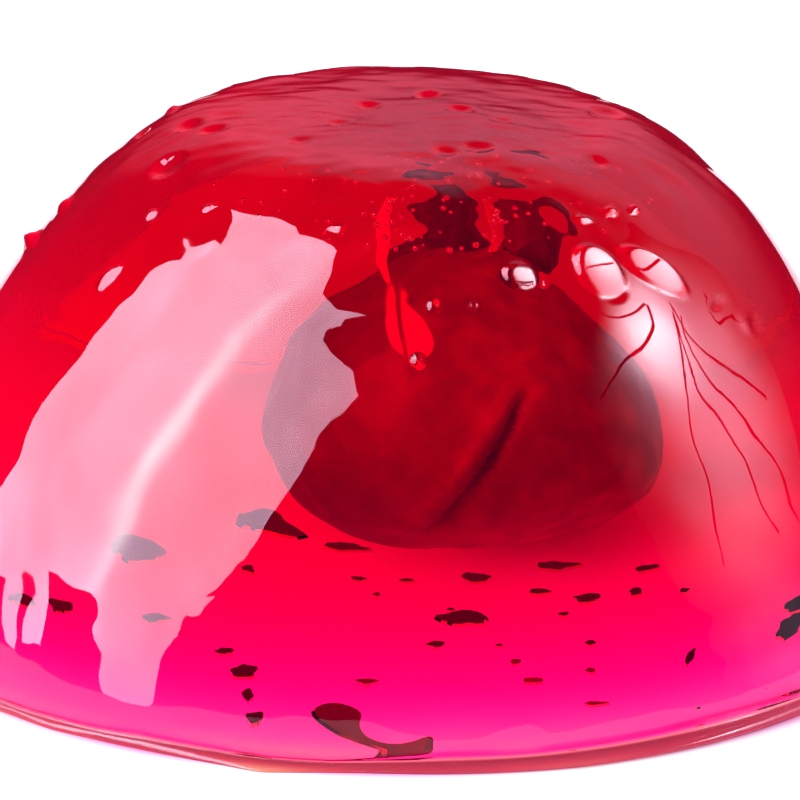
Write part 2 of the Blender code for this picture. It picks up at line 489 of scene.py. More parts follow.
world = bpy.data.worlds.new("studio_room")
bpy.context.scene.world = world
world.use_nodes = True
tree = world.node_tree
tree.nodes.clear()
place = add_node(tree, "ShaderNodeTexCoord")
parts = add_node(tree, "ShaderNodeSeparateXYZ")
tree.links.new(place.outputs["Generated"], parts.inputs["Vector"])
dot = add_node(tree, "ShaderNodeVectorMath", operation="DOT_PRODUCT")
dot.inputs[1].default_value = direction(WALL_AZIMUTH, 0)
tree.links.new(place.outputs["Generated"], dot.inputs[0])
behind = fade(tree, dot.outputs["Value"], WALL_EDGE, WALL_CORE)
low = fade(tree, parts.outputs["Z"], WALL_FOOT, WALL_BRIGHT)
high = fade(tree, parts.outputs["Z"], WALL_TOP, WALL_DIM)
wall = calc(tree, "MULTIPLY", behind, calc(tree, "MULTIPLY", low, high))
room = add_node(tree, "ShaderNodeBackground", Color=ROOM_COLOUR)
tree.links.new(calc(tree, "MULTIPLY_ADD", wall, WALL_GLOW, ROOM_DARK), room.inputs["Strength"])
backdrop = add_node(tree, "ShaderNodeBackground", Strength=WHITE)
path = add_node(tree, "ShaderNodeLightPath")
choose = add_node(tree, "ShaderNodeMixShader")
world_output = add_node(tree, "ShaderNodeOutputWorld")
tree.links.new(path.outputs["Is Camera Ray"], choose.inputs["Fac"])
tree.links.new(room.outputs["Background"], choose.inputs[1])
tree.links.new(backdrop.outputs["Background"], choose.inputs[2])
tree.links.new(choose.outputs["Shader"], world_output.inputs["Surface"])

view = bpy.context.scene.view_settings
view.view_transform = "Standard"
cycles = bpy.context.scene.cycles
cycles.max_bounces = INNER_BOUNCES
cycles.transmission_bounces = INNER_BOUNCES
cycles.glossy_bounces = GLOSS_BOUNCES
print("the wall glows", WALL_GLOW, "and light may bounce", INNER_BOUNCES, "times")

# %% [markdown]
# ## The dome
# A metal mould is a turned form, so the jelly's outline is drawn once, as a curve from the middle
# of its top down its side to the lip at its foot, and spun round the axis. The side is one cubic
# curve: steep at the foot, where the weight of the jelly pushes it upright, and rolling over
# tightly at the shoulder. A groove parts the side from the lip. The lip's rounded nose is drawn
# 1 mm deep all round, and the next step scales that by how far the lip reaches at each place.

# %% The dome's outline
SHOULDER_HEIGHT = 41.4 * MM
TOP_RADIUS = 15.8 * MM
CROWN = 0.9 * MM
SIDE_LEAN = radians(8.2)
SIDE_PULL = 19.9 * MM
SHOULDER_PULL = 12.0 * MM
LIP_HEIGHT = 0.62 * MM
GROOVE_DEPTH, GROOVE_HEIGHT = 0.30 * MM, 0.55 * MM
FOOT_HEIGHT = LIP_HEIGHT + GROOVE_HEIGHT
GROOVE_SHARES = (0.35, 0.7, 1.0)
NOSE_DEPTH = 1 * MM
SIDE_STEPS = 104
TOP_STEPS = 38
LIP_STEPS = 12
TURN_STEPS = 400


def side_point(share):
    foot = Vector((BASE_RADIUS, FOOT_HEIGHT))
    edge = Vector((TOP_RADIUS, SHOULDER_HEIGHT))
    slope = 2 * CROWN / TOP_RADIUS
    above_foot = foot + SIDE_PULL * Vector((-sin(SIDE_LEAN), cos(SIDE_LEAN)))
    past_edge = edge + SHOULDER_PULL * Vector((cos(slope), -sin(slope)))
    rest = 1 - share
    return (
        foot * rest**3
        + above_foot * 3 * rest**2 * share
        + past_edge * 3 * rest * share**2
        + edge * share**3
    )


def outline_points():
    points = []
    for step in range(TOP_STEPS):
        radius = TOP_RADIUS * step / TOP_STEPS
        points.append(Vector((radius, SHOULDER_HEIGHT + CROWN * (1 - (radius / TOP_RADIUS) ** 2))))
    points += [side_point(1 - step / SIDE_STEPS) for step in range(SIDE_STEPS + 1)]
    for share in GROOVE_SHARES:
        in_groove = GROOVE_DEPTH * sin(pi / 2 * share)
        points.append(Vector((BASE_RADIUS - in_groove, LIP_HEIGHT + GROOVE_HEIGHT * (1 - share))))
    for step in range(LIP_STEPS + 1):
        turn = pi / 2 - pi * step / LIP_STEPS
        nose = Vector((NOSE_DEPTH * cos(turn), LIP_HEIGHT / 2 * (1 + sin(turn))))
        points.append(Vector((BASE_RADIUS, 0)) + nose)
    points.append(Vector((0, 0)))
    return points


# %% Spin the outline
MERGE_DISTANCE = 0.002 * MM


def spun_dome():
    shape = bmesh.new()
    ring = [shape.verts.new((p.x, 0, p.y)) for p in outline_points()]
    edges = [shape.edges.new(pair) for pair in zip(ring, ring[1:])]
    bmesh.ops.spin(
        shape, geom=ring + edges, axis=(0, 0, 1), cent=(0, 0, 0),
        angle=2 * pi, steps=TURN_STEPS, use_merge=True,
    )
    bmesh.ops.remove_doubles(shape, verts=shape.verts, dist=MERGE_DISTANCE)
    bmesh.ops.recalc_face_normals(shape, faces=shape.faces)
    return shape


# %% [markdown]
# The front of the shoulder carries the finest marks, so its faces are split once more there.

# %% Split the faces that will carry fine marks
FINE_AZIMUTHS = (-62, 54)
FINE_HEIGHTS = (29.5 * MM, 38.8 * MM)


def split_fine_part(shape):
    def is_fine(point):
        azimuth = degrees(atan2(point.x, -point.y))
        return (
            FINE_AZIMUTHS[0] < azimuth < FINE_AZIMUTHS[1]
            and FINE_HEIGHTS[0] < point.z < FINE_HEIGHTS[1]
        )

    edges = [edge for edge in shape.edges if all(is_fine(vert.co) for vert in edge.verts)]
    bmesh.ops.subdivide_edges(shape, edges=edges, cuts=1, use_grid_fill=True)


# %% [markdown]
# ## How the jelly settled
# Out of its mould a jelly sags: the top tips forward and a little to the right, the left side
# leans out, and the rest swells slowly in and out. The lip at its foot has spread further in some
# places than in others, and at the back the side simply runs on down to the table. One table
# says how far the lip reaches at each azimuth, another how thick it is.

# %% Settle the dome
TIP_SIDEWAYS = -0.019
TIP_BACK = 0.050
DENT_DEPTH = 0.35 * MM
DENT_SIZE = 8.0 * MM
LUMP_HEIGHT = 0.30 * MM
LUMP_SIZE = 21.0 * MM
LEFT_BELLY = 1.5 * MM
BELLY_TOP = 0.5
BELLY_SPREAD = 0.25
LIP_REACH = (
    # azimuth, how far the lip stands out in mm
    (-180, 0.0), (-115, 0.2), (-85, 0.6), (-60, 0.4), (-46, 0.1), (-40, 0.4), (-35, 0.15),
    (-29, 0.3), (-24, 0.6), (-19, 1.1), (-15, 1.8), (-10, 1.0), (-5, 0.6), (-1, 0.7), (4, 0.95),
    (13, 1.3), (18, 1.5), (33, 1.2), (44, 0.7), (54, 0.5), (75, 0.5), (110, 0.2), (180, 0.0),
)
LIP_SWELL = (
    # azimuth, thickness of the lip as a multiple of its usual one
    (-180, 1.0), (-60, 1.1), (-35, 1.2), (-29, 1.4), (-22, 1.2), (-15, 0.85), (-8, 0.85),
    (-3, 1.1), (4, 1.33), (13, 1.27), (20, 1.4), (30, 1.65), (36, 1.8), (45, 1.8), (60, 1.5),
    (90, 1.0), (180, 1.0),
)
LIP_BLEND = 6 * MM
GROOVE_LIFT = 0.1 * MM
LIP_MARGIN = 0.01 * MM
BACK_START, BACK_END = -0.2, 0.3  # shares of the base radius along Y
SWELLING_FULL = 0.25  # share of the height


def belly_push(angle, height_share):
    above = max(0.0, height_share - BELLY_TOP)
    return LEFT_BELLY * max(0.0, -cos(angle)) ** 2 * exp(-((above / BELLY_SPREAD) ** 2))


def settled(point):
    radius = hypot(point.x, point.y)
    share = point.z / SHOULDER_HEIGHT
    outward = Vector((point.x, point.y, 0)).normalized()
    angle = atan2(point.y, point.x)
    moved = point.copy()
    swell = by_azimuth(LIP_SWELL, point) - 1
    if point.z < FOOT_HEIGHT and radius > BASE_RADIUS - GROOVE_DEPTH - LIP_MARGIN:
        reached = BASE_RADIUS + (radius - BASE_RADIUS) * by_azimuth(LIP_REACH, point)
        at_front = radius if radius < BASE_RADIUS else reached
        at_back = BASE_RADIUS + tan(SIDE_LEAN) * (FOOT_HEIGHT - point.z)
        share_back = smooth_step(point.y / BASE_RADIUS, BACK_START, BACK_END)
        moved += outward * (at_front + (at_back - at_front) * share_back - radius)
        lift = GROOVE_LIFT * share_back if radius < BASE_RADIUS else 0
        moved.z += swell * point.z + lift
    elif point.z >= FOOT_HEIGHT:
        moved.z += swell * FOOT_HEIGHT * smooth_step(point.z, LIP_BLEND, FOOT_HEIGHT)
    swelling = LUMP_HEIGHT * noise.noise(point / LUMP_SIZE)
    moved += outward * min(1.0, share / SWELLING_FULL) * swelling
    moved += outward * min(1.0, radius / BASE_RADIUS) * belly_push(angle, share)
    tip = TIP_SIDEWAYS * point.x + TIP_BACK * point.y
    dents = DENT_DEPTH * noise.noise(Vector((point.x, point.y, 0)) / DENT_SIZE)
    moved.z += share**2 * tip + share**6 * dents
    return moved


# %% [markdown]
# ## Ripples and wrinkles
# The skin of the jelly isn't glassy smooth. Fine ripples on the side break up the edges of the
# reflections, folds run down the right of the shoulder, and the top, which was the bottom of the
# mould, is wrinkled from side to side. All of it is noise, pushed in and out along the surface's
# own direction, which the vertex normals give. Dividing a point by a different size along each
# axis stretches the noise. The front of the foot stands out in scallops, of the heights in a table.

# %% Push the surface in and out
RIPPLE_DEPTH, RIPPLE_SIZE = 0.035 * MM, 4.2 * MM
SHOULDER_DEPTH, SHOULDER_SIZE = 0.13 * MM, 3.6 * MM
WRINKLE_DEPTH, WRINKLE_SIZE = 0.085 * MM, Vector((2.9, 1.5, 2.2)) * MM
CRUMPLE_DEPTH, CRUMPLE_SIZE = 0.022 * MM, Vector((1.5, 0.8, 1.0)) * MM
FOLD_DEPTH, FOLD_TURNS, FOLD_HEIGHT = 0.20 * MM, 8.0, 16 * MM
FOLD_ANGLE, FOLD_START, FOLD_FULL = radians(-25), 0.55, 0.9
CALM_FOOT, SHOULDER_BAND, TOP_BAND = (1.2 * MM, 4.0 * MM), (32 * MM, 39 * MM), (38 * MM, 41 * MM)
SCALLOP_DEPTH, SCALLOP_FADE = 0.26 * MM, 7.5 * MM
SCALLOP_BACK, SCALLOP_FRONT = -0.1, 0.2  # shares of the base radius towards the front
SCALLOP_RAGGED, SCALLOP_TURNS = 0.45 * MM, 30.0
SCALLOP_HEIGHTS = (
    # azimuth, height in mm
    (-180, 4.0), (-90, 4.0), (-60, 3.2), (-45, 3.2), (-29, 3.3), (-24, 3.7), (-19, 3.6),
    (-14.6, 3.2), (-12.3, 4.2), (-10, 3.9), (-7.7, 3.5), (-5, 4.1), (-2.5, 3.6), (3.7, 2.1),
    (8.4, 2.4), (10.2, 3.6), (13.5, 3.6), (14.5, 2.5), (17.7, 2.3), (20, 2.8), (27.7, 3.2),
    (30.3, 2.5), (33, 1.9), (36, 1.8), (42, 2.6), (60, 3.5), (90, 4.0), (180, 4.0),
)


def scallops(point):
    angle = atan2(point.y, point.x)
    ragged = SCALLOP_RAGGED * noise.noise(Vector((SCALLOP_TURNS * angle, 9.0, 0.0)))
    height = by_azimuth(SCALLOP_HEIGHTS, point) * MM + ragged
    below = smooth_step(point.z, 0.25 * height, height)
    above = smooth_step(point.z, height + SCALLOP_FADE, height)
    in_front = smooth_step(-point.y / BASE_RADIUS, SCALLOP_BACK, SCALLOP_FRONT)
    return SCALLOP_DEPTH * below * above * in_front


def ripple(point):
    angle = atan2(point.y, point.x)
    above_foot = smooth_step(point.z, *CALM_FOOT)
    on_shoulder = smooth_step(point.z, *SHOULDER_BAND)
    on_top = smooth_step(point.z, *TOP_BAND)
    on_right = smooth_step(cos(angle - FOLD_ANGLE), FOLD_START, FOLD_FULL)
    depth = above_foot * RIPPLE_DEPTH * noise.noise(point / RIPPLE_SIZE)
    depth += on_shoulder * (1 - 0.5 * on_top) * SHOULDER_DEPTH * noise.noise(point / SHOULDER_SIZE)
    stretched = Vector(a / b for a, b in zip(point, WRINKLE_SIZE))
    depth += on_top * WRINKLE_DEPTH * noise.noise(stretched)
    stretched = Vector(a / b for a, b in zip(point, CRUMPLE_SIZE))
    depth += on_top * CRUMPLE_DEPTH * noise.noise(stretched)
    folds = noise.noise(Vector((angle * FOLD_TURNS, 3.0, point.z / FOLD_HEIGHT)))
    depth += on_shoulder * (1 - on_top) * on_right * FOLD_DEPTH * folds
    return depth + scallops(point)


def roughen(shape):
    shape.normal_update()
    moves = [
        (vert, vert.normal * ripple(vert.co))
        for vert in shape.verts if vert.co.z > FOOT_HEIGHT * by_azimuth(LIP_SWELL, vert.co)
    ]
    for vert, move in moves:
        vert.co += move


# %% [markdown]
# ## Bumps and dimples
# Single marks show as glints, because a small slope is enough to turn a lamp's reflection into
# the eye. Each is placed by its azimuth and height: a ray cast outward from the axis finds the
# skin there. `push` is how far it stands out, `flat` is the share of it that is level, and the
# two slopes tilt that level part, which makes a facet that catches one lamp. The marks on the top
# are placed from above instead.

# %% Marks on the side and on the top
SIDE_MARKS = (
    # azimuth, height mm, half width mm, half height mm, turn, push mm, flat, slope right, slope up
    (-54.2, 32.4, 0.9, 1.5, -20, 0.10, 0.7, -0.22, 0.06),
    (-55.4, 36.7, 0.7, 0.7, 0, 0.10, 0.6, -0.25, 0.15),
    (-42.9, 38.0, 0.9, 0.5, 20, 0.08, 0.6, -0.18, 0.15),
    (-14.4, 37.7, 0.9, 0.5, 15, 0.06, 0.6, 0.10, 0.20),
    (-28.4, 34.5, 0.25, 0.25, 0, 0.10, 0.1, 0.0, 0.0),
    (4.3, 33.0, 0.6, 0.6, 0, 0.16, 0.5, -0.40, 0.06),
    (10.6, 32.9, 0.45, 0.6, 20, 0.12, 0.5, -0.35, 0.09),
    (19.8, 34.5, 2.0, 1.6, -35, 0.04, 0.55, -0.24, 0.18),
    (1.7, 29.5, 0.6, 0.6, 0, 0.16, 0.5, -0.45, -0.05),
    (21.4, 26.7, 0.35, 0.35, 0, 0.08, 0.5, -0.2, -0.08),
    (33.8, 34.2, 2.2, 2.9, 12, 0.36, 0.75, -0.02, 0.19),
    (44.4, 33.6, 1.7, 3.6, 38, 0.34, 0.75, 0.13, 0.16),
    (36.9, 37.4, 1.0, 0.5, -15, 0.16, 0.5, 0.03, 0.36),
    (43.6, 37.5, 1.1, 0.55, 12, 0.16, 0.5, 0.14, 0.38),
    (49.7, 37.3, 1.0, 0.5, 25, 0.16, 0.5, 0.22, 0.35),
    (54.0, 30.5, 1.6, 0.5, 10, -0.14, 0.2, 0.0, 0.0),
    (60.0, 28.5, 1.8, 0.6, 15, -0.12, 0.2, 0.0, 0.0),
    (58.0, 28.6, 1.0, 1.0, 0, 0.12, 0.5, 0.0, 0.0),
    (-90.0, 31.0, 1.1, 0.8, 0, 0.8, 0.4, 0.0, 0.0),
    (-88.0, 34.2, 1.6, 1.1, 0, 0.40, 0.2, 0.0, 0.0),
    (-98.0, 39.4, 1.6, 0.8, 0, -0.40, 0.2, 0.0, 0.0),
    (-108.0, 40.6, 1.2, 0.8, 0, 0.35, 0.2, 0.0, 0.0),
)
TOP_MARKS = (
    # x mm, y mm, half width mm, half depth mm, push mm, flat
    (1.6, 4.1, 1.4, 1.5, -0.42, 0.2),
    (4.3, -0.4, 1.3, 1.3, -0.36, 0.2),
    (-3.3, 1.1, 1.1, 1.3, -0.32, 0.2),
    (5.6, -9.7, 1.6, 1.5, -0.32, 0.2),
    (2.9, -10.9, 1.4, 1.2, -0.28, 0.2),
    (-17.9, -1.3, 1.3, 1.6, -0.42, 0.2),
    (-19.3, -8.5, 1.7, 1.7, -0.40, 0.4),
    (-15.8, -4.0, 1.4, 1.2, -0.32, 0.2),
    (-5.5, -3.7, 1.3, 1.1, -0.18, 0.2),
    (16.4, 3.2, 1.8, 2.2, -0.45, 0.3),
    (15.1, -9.6, 0.8, 1.2, -0.25, 0.2),
    (7.5, -2.5, 1.2, 1.0, -0.16, 0.2),
    (-8.7, -8.5, 1.2, 0.9, -0.14, 0.2),
)


def press_mark(shape, near, centre, normal, sideways, mark):
    width, tall, turn, push, flat, slope_right, slope_up = mark
    upward = normal.cross(sideways)
    a = sideways * cos(radians(turn)) + upward * sin(radians(turn))
    b = upward * cos(radians(turn)) - sideways * sin(radians(turn))
    for _, index, _ in near.find_range(centre, max(width, tall) * MM):
        vert = shape.verts[index]
        offset = vert.co - centre
        far = hypot(offset.dot(a) / (width * MM), offset.dot(b) / (tall * MM))
        lift = push * MM + slope_right * offset.dot(sideways) + slope_up * offset.dot(upward)
        vert.co += normal * lift * (1 - smooth_step(far, flat, 1.0))


def mark_skin(shape):
    shape.verts.ensure_lookup_table()
    skin = BVHTree.FromBMesh(shape)
    near = KDTree(len(shape.verts))
    for index, vert in enumerate(shape.verts):
        near.insert(vert.co, index)
    near.balance()
    for azimuth, height, *mark in SIDE_MARKS:
        centre, normal, _, _ = skin.ray_cast(Vector((0, 0, height * MM)), direction(azimuth, 0))
        press_mark(shape, near, centre, normal, direction(azimuth + 90, 0), mark)
    for x, y, width, depth, push, flat in TOP_MARKS:
        centre, normal, _, _ = skin.ray_cast(Vector((x, y, 60)) * MM, Vector((0, 0, -1)))
        mark = (width, depth, 0, push, flat, 0, 0)
        press_mark(shape, near, centre, normal, Vector((1, 0, 0)), mark)
    return skin


# %% [markdown]
# ## Air in the jelly
# Air caught in a jelly is a hollow: a closed inner wall whose faces point into the air. Light
# inside the jelly that meets such a wall at a slant is reflected as by a mirror. That is why the
# flat pockets of air under the base look dark: seen from the side they mirror the deep red
# inside. Each pocket is an outline, irregular from noise or drawn out into a tail, that is
# extruded from below the table's surface to just above it.

# %% Flat pockets of air under the base
POCKET_LOW, POCKET_HIGH = 0.08 * MM, 0.34 * MM
POCKET_SIDES = 22
POCKET_TAPER = 0.93
WAVER, WAVER_TURNS, TAIL_SPREAD = 0.45, 1.6, 0.4
POCKETS = (
    # x mm, y mm, half width mm, half depth mm, tail angle, tail length as a share
    (3.6, -5.0, 1.9, 1.7, 0, 0.1), (4.0, 4.3, 0.9, 0.9, 0, 0.3),
    (8.8, 6.4, 1.1, 0.9, 20, 0.7), (8.2, 0.7, 0.7, 0.6, 0, 0.2),
    (11.3, -0.7, 1.0, 1.0, 0, 0.1), (14.5, 4.8, 0.8, 0.6, 0, 0.2),
    (14.4, 0.2, 0.4, 0.8, -40, 0.3), (17.1, -0.1, 0.3, 0.5, 0, 0.0),
    (10.0, -4.1, 0.4, 0.5, 0, 0.0), (1.8, -11.7, 0.6, 0.8, 0, 0.1),
    (7.4, -16.5, 0.4, 0.7, 60, 0.4), (8.6, -20.8, 0.6, 0.7, 0, 0.2),
    (12.3, -11.8, 0.4, 0.6, 0, 0.1), (12.7, -18.3, 0.4, 0.6, 0, 0.1),
    (19.3, -15.6, 0.4, 1.7, 70, 0.2), (13.4, -26.3, 0.7, 0.5, 30, 0.7),
    (21.4, -27.8, 0.4, 0.7, 0, 0.2), (12.3, -36.5, 0.4, 0.4, 0, 0.1),
    (25.5, -4.6, 1.0, 2.0, 0, 0.1), (25.9, -9.6, 1.1, 2.6, 100, 0.2),
    (27.5, -24.7, 1.7, 2.2, 20, 0.2), (-0.1, 3.3, 0.5, 0.4, 0, 0.2),
    (-16.5, 8.6, 1.5, 2.2, 0, 0.1), (-16.6, -5.9, 0.9, 1.2, 0, 0.3),
    (-8.7, 14.9, 1.6, 2.4, -40, 0.8), (-4.0, 10.6, 1.4, 1.0, -10, 0.3),
    (-10.1, 5.3, 0.4, 0.8, -60, 0.5), (-3.3, 3.4, 0.4, 0.5, 0, 0.2),
    (-2.2, 0.1, 0.3, 0.4, 0, 0.0), (-12.7, -13.7, 0.6, 0.8, 0, 0.2),
    (-11.6, -18.6, 1.0, 1.7, 20, 0.4), (-11.4, -23.9, 0.5, 1.6, 0, 0.0),
    (-11.2, -28.8, 0.6, 1.3, 30, 0.5), (-3.0, -21.1, 0.7, 0.6, 0, 0.2),
    (-11.7, -37.4, 1.4, 1.5, 0, 0.0), (-22.7, -3.1, 0.8, 1.8, 0, 0.2),
    (-25.1, -2.4, 1.0, 1.6, 180, 0.2), (6.1, -12.4, 0.3, 0.4, 0, 0.0),
    (2.6, -3.0, 0.3, 0.4, 0, 0.0),
)
FORKED_POCKET = (
    (-7.6, -26.9), (-5.0, -32.2), (-1.4, -36.8), (0.6, -37.4), (1.1, -35.9), (2.4, -33.2),
    (-0.6, -35.0), (-2.5, -34.0), (-3.8, -30.5), (-3.3, -27.0), (-5.7, -24.6),
)


def pocket_outline(x, y, width, depth, tail_angle, tail, seed):
    points = []
    for side in range(POCKET_SIDES):
        turn = 2 * pi * side / POCKET_SIDES
        waver = WAVER * noise.noise(Vector((cos(turn), sin(turn), seed)) * WAVER_TURNS)
        lag = atan2(sin(turn - radians(tail_angle)), cos(turn - radians(tail_angle)))
        size = 1 + waver + tail * exp(-((lag / TAIL_SPREAD) ** 2))
        points.append((x + width * size * cos(turn), y + depth * size * sin(turn)))
    return points


def rounded(points):
    """The outline with its corners cut off twice, each time a quarter of the way along."""
    for _ in range(2):
        cut = []
        for (ax, ay), (bx, by) in zip(points, points[1:] + points[:1]):
            cut += [(0.75 * ax + 0.25 * bx, 0.75 * ay + 0.25 * by)]
            cut += [(0.25 * ax + 0.75 * bx, 0.25 * ay + 0.75 * by)]
        points = cut
    return points


def hollow_pocket(shape, outline):
    foot = [shape.verts.new((x * MM, y * MM, POCKET_LOW)) for x, y in outline]
    grown = bmesh.ops.extrude_face_region(shape, geom=[shape.faces.new(foot)])["geom"]
    roof = [item for item in grown if isinstance(item, bmesh.types.BMVert)]
    middle = sum((vert.co for vert in roof), Vector()) / len(roof)
    for vert in roof:
        vert.co = middle + (vert.co - middle) * POCKET_TAPER
        vert.co.z = POCKET_HIGH
    faces = {face for vert in foot + roof for face in vert.link_faces}
    bmesh.ops.recalc_face_normals(shape, faces=list(faces))
    bmesh.ops.reverse_faces(shape, faces=list(faces))


# %% [markdown]
# Tiny round bubbles hang just under the skin at the front of the shoulder, where they clung to
# the mould's wall. They're icospheres, turned inside out. Seeded random numbers scatter them the
# same way each time.

# %% Round bubbles
SPECKS = 120
SPECK_AZIMUTH, SPECK_SPREAD = 4, 22
SPECK_HEIGHTS = (36.6, 41.2)
SPECK_RADII = (0.10, 0.30)
SPECK_DEPTHS = (0.36, 0.8)
SPECK_SEED, SPECK_FINENESS = 11, 2


def hollow_bubble(shape, centre, radius, fineness):
    place = Matrix.Translation(centre)
    made = bmesh.ops.create_icosphere(shape, subdivisions=fineness, radius=radius, matrix=place)
    faces = {face for vert in made["verts"] for face in vert.link_faces}
    bmesh.ops.reverse_faces(shape, faces=list(faces))


def scatter_bubbles(shape, skin):
    dice = random.Random(SPECK_SEED)
    made = 0
    while made < SPECKS:
        azimuth = dice.gauss(SPECK_AZIMUTH, SPECK_SPREAD)
        height = dice.uniform(*SPECK_HEIGHTS) * MM
        radius = dice.uniform(*SPECK_RADII) * MM
        depth = dice.uniform(*SPECK_DEPTHS) * MM
        hit, normal, _, _ = skin.ray_cast(Vector((0, 0, height)), direction(azimuth, 0))
        if hit is None:
            continue
        hollow_bubble(shape, hit - normal * depth, radius, SPECK_FINENESS)
        made += 1
    print(made, "bubbles")


# %% Make the dome
shape = spun_dome()
split_fine_part(shape)
for vert in shape.verts:
    vert.co = settled(vert.co)
roughen(shape)
skin = mark_skin(shape)
scatter_bubbles(shape, skin)
shade_smooth(shape)
for seed, pocket in enumerate(POCKETS):
    hollow_pocket(shape, pocket_outline(*pocket, seed))
hollow_pocket(shape, rounded(list(FORKED_POCKET)))
jelly = finish_mesh("jelly_dome", shape)

# %% [markdown]
# ## The jelly's material
# Light passes straight through the jelly and is dyed on the way: green goes within a few
# millimetres, blue within some centimetres, and red hardly at all. So the shader is plain
# transmission with a Volume Absorption behind it, whose colour and density say how fast each
# colour fades. Thin jelly is pink, deeper jelly magenta, and the deepest crimson. A faint blue glow
# is painted on the skin, painted light that lifts the blue in the deep red a little. The skin is
# wet but not perfect: noise makes it here a little duller, there a little wavy.

# %% The dyed jelly
JELLY_IOR = 1.36
DYE_DENSITY = 340.0
DYE_COLOUR = (0.963, 0.0, 0.8265, 1)
SKIN_TINT = (1.0, 0.35, 0.12, 1)
# painted light: a faint blue glow on the jelly's skin
PAINTED_BLUE_GLOW = 0.007
PAINTED_GLOW_COLOUR = (0.0, 0.0, 1.0, 1)
SKIN_ROUGHNESS, DULLER = 0.008, 0.03
WAVE_SCALE, WAVE_HEIGHT, WAVE_STRENGTH = 260.0, 0.02 * MM, 0.5
DULL_SCALE, DULL_DETAIL, DULL_START, DULL_END = 160.0, 3.0, 0.5, 0.75

jelly_material = new_material("dyed_jelly")
tree = jelly_material.node_tree
skin_shader = add_node(
    tree, "ShaderNodeBsdfPrincipled",
    Base_Color=SKIN_TINT, IOR=JELLY_IOR, Transmission_Weight=1.0,
    Emission_Color=PAINTED_GLOW_COLOUR, Emission_Strength=PAINTED_BLUE_GLOW,
)
patches = fade(tree, clouds(tree, DULL_SCALE, DULL_DETAIL), DULL_START, DULL_END)
dullness = calc(tree, "MULTIPLY_ADD", patches, DULLER, SKIN_ROUGHNESS)
tree.links.new(dullness, skin_shader.inputs["Roughness"])
waves = add_node(tree, "ShaderNodeBump", Strength=WAVE_STRENGTH, Distance=WAVE_HEIGHT)
tree.links.new(clouds(tree, WAVE_SCALE), waves.inputs["Height"])
tree.links.new(waves.outputs["Normal"], skin_shader.inputs["Normal"])
dye = add_node(tree, "ShaderNodeVolumeAbsorption", Color=DYE_COLOUR, Density=DYE_DENSITY)
jelly_output = add_node(tree, "ShaderNodeOutputMaterial")
tree.links.new(skin_shader.outputs["BSDF"], jelly_output.inputs["Surface"])
tree.links.new(dye.outputs["Volume"], jelly_output.inputs["Volume"])
# the painted blue glow is too faint to light anything, so Cycles needn't aim rays at the skin's
# many faces
jelly_material.cycles.emission_sampling = "NONE"
jelly.data.materials.append(jelly_material)
print("the jelly bends light by", JELLY_IOR, "and dyes it at a density of", DYE_DENSITY)

# %% [markdown]
# ## The fruit
# One soft stone fruit, cooked and wrinkled, sits in the middle of the jelly a little above the
# table. It starts as a cube-sphere, which has even faces and no poles, is stretched to its
# proportions, and gets its seam and folds by moving its points. Two small lobes show over its
# top, coloured darker than the flesh as painted shade.

# %% Shape the fruit
FRUIT_MIDDLE = Vector((3.1, -1.0, 14.6)) * MM
FRUIT_RADII = Vector((12.5, 12.5, 9.7)) * MM
FRUIT_CUTS = 44
FRUIT_TAPER, FRUIT_LEAN = 0.27, 0.8 * MM
SEAM_PLACE, SEAM_SLANT, SEAM_WIDTH, SEAM_DEPTH = 0.19, 0.60, 0.035, 0.10
SEAM_FOOT, SEAM_HEAD, SEAM_FRONT = (-0.65, -0.40), (0.55, 0.30), (0.1, 0.5)
SEAM_LIP_PLACE, SEAM_LIP_WIDTH, SEAM_LIP_HEIGHT = -0.10, 0.07, 0.03
WRINKLES = (
    # turns, seed, depth: soft folds, then sharp creases
    (1.7, Vector((3.1, 0, 0)), 0.06),
    (3.4, Vector((0, 7.7, 0)), 0.035),
)
LOBE_LUMP, LOBE_TURNS = 0.15, 2
LOBE_CUTS = 14
LOBES = (
    (Vector((1.5, 5.5, 21.7)) * MM, Vector((3.2, 3.0, 2.1)) * MM),
    (Vector((7.7, 5.5, 22.9)) * MM, Vector((2.3, 3.0, 1.9)) * MM),
)


def fruit_fold(way):
    """How far, as a share of the radius, the fruit's surface is drawn in or out that way."""
    off_seam = way.x - SEAM_PLACE - SEAM_SLANT * way.z
    ends = smooth_step(way.z, *SEAM_FOOT) * smooth_step(way.z, *SEAM_HEAD)
    in_front = smooth_step(-way.y, *SEAM_FRONT)
    seam = exp(-((off_seam / SEAM_WIDTH) ** 2)) * ends * in_front
    lip = exp(-(((off_seam - SEAM_LIP_PLACE) / SEAM_LIP_WIDTH) ** 2)) * ends * in_front
    folds, creases = (noise.noise(way * turns + seed) * depth for turns, seed, depth in WRINKLES)
    return -SEAM_DEPTH * seam + SEAM_LIP_HEIGHT * lip + folds - abs(creases)


def lobe_lump(way):
    return LOBE_LUMP * noise.noise(way * LOBE_TURNS)


def rounded_piece(middle, radii, cuts, taper, lean, fold):
    shape = bmesh.new()
    bmesh.ops.create_cube(shape, size=2)
    bmesh.ops.subdivide_edges(shape, edges=shape.edges, cuts=cuts, use_grid_fill=True)
    for vert in shape.verts:
        way = vert.co.normalized()
        place = Vector(a * b for a, b in zip(way, radii)) * (1 + fold(way))
        place.x = place.x * (1 - taper * way.z) - lean * way.z
        vert.co = middle + place
    bmesh.ops.recalc_face_normals(shape, faces=shape.faces)
    shade_smooth(shape)
    return shape


fruit = finish_mesh(
    "fruit",
    rounded_piece(FRUIT_MIDDLE, FRUIT_RADII, FRUIT_CUTS, FRUIT_TAPER, FRUIT_LEAN, fruit_fold),
)
lobes = [
    finish_mesh(
        f"fruit_lobe_{number}",
        rounded_piece(middle, radii, LOBE_CUTS, 0, 0, lobe_lump),
    )
    for number, (middle, radii) in enumerate(LOBES, 1)
]

